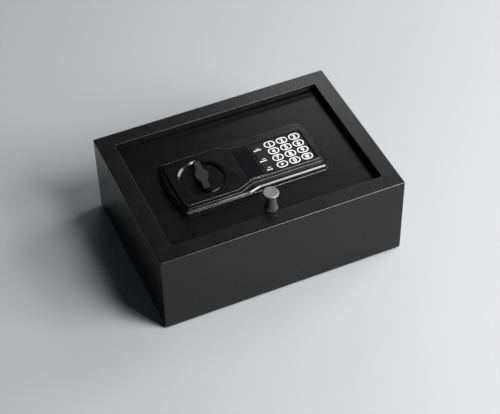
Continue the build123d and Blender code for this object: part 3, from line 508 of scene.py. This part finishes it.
def key_ring(low, high):
    """White oval printed round a key's top, just inside its edge."""
    length = high.x - low.x - 2 * RING_EDGE_GAP
    width = high.y - low.y - 2 * RING_EDGE_GAP
    inner_width = width - 2 * RING_WIDTH
    outer = rounded_loop(length, width, RING_ROUNDNESS * width)
    inner = rounded_loop(length - 2 * RING_WIDTH, inner_width, RING_ROUNDNESS * inner_width)
    centre = (low + high) / 2

    def build(work):
        rows = []
        for loop, z in ((outer, 0), (outer, PRINT_HEIGHT), (inner, PRINT_HEIGHT), (inner, 0)):
            rows.append([work.verts.new((centre.x + p.x, centre.y + p.y, high.z + z)) for p in loop])
        count = len(outer)
        for row, after in zip(rows, rows[1:] + rows[:1]):
            for i in range(count):
                j = (i + 1) % count
                work.faces.new((row[i], row[j], after[j], after[i]))
    return mesh_from(build)


def glyph_mesh(text, size, centre):
    """A printed character, centred on a point."""
    curve = bpy.data.curves.new("glyph", "FONT")
    curve.body = text
    curve.size = size
    curve.extrude = PRINT_HEIGHT / 2
    curve.resolution_u = 6
    curve.offset = DIGIT_WEIGHT * size
    holder = bpy.data.objects.new("glyph", curve)
    bpy.context.scene.collection.objects.link(holder)
    bpy.context.view_layer.update()
    shown = holder.evaluated_get(bpy.context.evaluated_depsgraph_get())
    mesh = bpy.data.meshes.new_from_object(shown)
    bpy.data.objects.remove(holder)
    low = Vector([min(v.co[i] for v in mesh.vertices) for i in range(3)])
    high = Vector([max(v.co[i] for v in mesh.vertices) for i in range(3)])
    shift = centre - (low + high) / 2
    mesh.transform(Matrix.Translation((shift.x, shift.y, centre.z + PRINT_HEIGHT / 2)))
    return mesh


def make_key_prints():
    """The white oval and the character on each key."""
    for name in [n for n in frame["nodes"] if n.startswith("key_") and "plug" not in n]:
        low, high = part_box(name)
        label = name.removeprefix("key_")
        add_piece(f"ring_{label}", key_ring(low, high), name, "print_white",
                  PRINT_SMOOTH_DEGREES)
        centre = (low + high) / 2
        centre.z = high.z
        glyph = glyph_mesh(KEY_LABELS.get(label, label), DIGIT_SIZE, centre)
        add_piece(f"print_{label}", glyph, name, "print_white", PRINT_SMOOTH_DEGREES)


WELD_DISTANCE = 0.002 * MM
LEVEL_TOLERANCE = 0.01 * MM
SHORTEST_SQUARED = 1e-12


def top_outline(node):
    """Points in order round a CAD node's highest level face."""
    work = bmesh.new()
    work.from_mesh(frame["nodes"][node].data)
    bmesh.ops.remove_doubles(work, verts=work.verts, dist=WELD_DISTANCE)
    height = max(v.co.z for v in work.verts)
    level = [f for f in work.faces if all(height - v.co.z < LEVEL_TOLERANCE for v in f.verts)]
    links = {}
    for face in level:
        for edge in face.edges:
            if sum(other in level for other in edge.link_faces) == 1:
                first, second = edge.verts
                links.setdefault(first, []).append(second)
                links.setdefault(second, []).append(first)
    start = min(links, key=lambda v: (v.co.x, v.co.y))
    loop, before, here = [start], None, start
    while True:
        after = next(v for v in links[here] if v is not before)
        if after is start:
            break
        loop.append(after)
        before, here = here, after
    points = [v.co.copy() for v in loop]
    work.free()
    return points


def inside(point, outline, margin):
    """Whether a point lies inside an outline, at least margin from its edge."""
    crossings = 0
    for first, second in zip(outline, outline[1:] + outline[:1]):
        along = second.xy - first.xy
        share = (point - first.xy).dot(along) / max(along.length_squared, SHORTEST_SQUARED)
        share = max(0.0, min(1.0, share))
        if (first.xy + along * share - point).length < margin:
            return False
        if (first.y > point.y) != (second.y > point.y):
            if point.x < first.x + (point.y - first.y) * along.x / along.y:
                crossings += 1
    return crossings % 2 == 1


def make_knurled_face():
    """Knurled face of the grip: a thin pad covered in small blunt pyramids."""
    low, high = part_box("grip_insert")
    outline = top_outline("grip_insert")
    pad_top = high.z - KNURL_HEIGHT
    centre = (low + high) / 2
    along = Vector((math.cos(GRIP_TURN), math.sin(GRIP_TURN)))
    across = Vector((-along.y, along.x))

    def build(work):
        rings = [[work.verts.new((p.x, p.y, z)) for p in outline] for z in (low.z, pad_top)]
        close_prism(work, *rings)
        reach = int(GRIP_REACH / KNURL_PITCH)
        for column in range(-2 * reach, 2 * reach + 1):
            for row in range(-2 * reach, 2 * reach + 1):
                if (column + row) % 2:
                    continue
                step = along * column * KNURL_ALONG + across * row * KNURL_ACROSS
                place = centre.xy + step * KNURL_PITCH
                if inside(place, outline, KNURL_MARGIN):
                    add_pyramid(work, place, along * KNURL_ALONG * KNURL_PITCH,
                                across * KNURL_ACROSS * KNURL_PITCH, pad_top - KNURL_SINK, high.z)
    piece = add_piece("knurled_face", mesh_from(build), "turn_knob", "knurled_rubber")
    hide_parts("grip_insert")


def add_pyramid(work, place, half_along, half_across, bottom, top):
    """A blunt four-sided pyramid with a diamond base."""
    rings = []
    for height, share in ((bottom, KNURL_BASE_SHARE), (top, KNURL_TOP_SHARE)):
        rings.append([work.verts.new((place.x + d.x * share, place.y + d.y * share, height))
                      for d in (half_along, half_across, -half_along, -half_across)])
    close_prism(work, *rings)


MARK_HEIGHT = 1.5 * MM
MARK_CORNER = 0.3 * MM
MARK_CORNER_STEPS = 3
MARK_GAP = 0.35 * MM

# One row for each indicator: left gap, drop below its window, and the blocks' lengths in millimetres.
MARK_ROWS = [
    (1.4 * MM, 3.2 * MM, (1.3, 0.9, 1.5, 1.1, 1.3, 0.9, 1.2)),
    (1.4 * MM, 4.6 * MM, (1.1, 1.4, 1.0, 1.3, 1.1, 1.4)),
    (3.6 * MM, 2.6 * MM, (1.3, 1.0, 1.2, 1.1, 1.2)),
]


def mark_row(lengths, left, y, bottom):
    """A row of small printed blocks with round corners."""
    def build(work):
        x = left
        for length in lengths:
            corners = rounded_loop(length * MM, MARK_HEIGHT, MARK_CORNER, MARK_CORNER_STEPS)
            rings = [[work.verts.new((x + length * MM / 2 + p.x, y + p.y, bottom + z)) for p in corners]
                     for z in (0, PRINT_HEIGHT)]
            close_prism(work, *rings)
            x += length * MM + MARK_GAP
    return mesh_from(build)


def make_indicator_marks():
    """Three rows of printed blocks on the keypad, one under each indicator window."""
    low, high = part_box("keypad_plate")
    lens_low, lens_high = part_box("indicator_lenses")
    places = [lens_high.y, (lens_low.y + lens_high.y) / 2, lens_low.y]
    for number, (place, (left_gap, drop, lengths)) in enumerate(zip(places, MARK_ROWS), 1):
        row = mark_row(lengths, low.x + left_gap, place - drop, high.z)
        add_piece(f"mark_{number}", row, "lid", "print_white", PRINT_SMOOTH_DEGREES)


bpy.context.scene.view_settings.view_transform = "Standard"
dress_cad_nodes()
make_camera()
make_studio()
make_key_prints()
make_knurled_face()
make_indicator_marks()
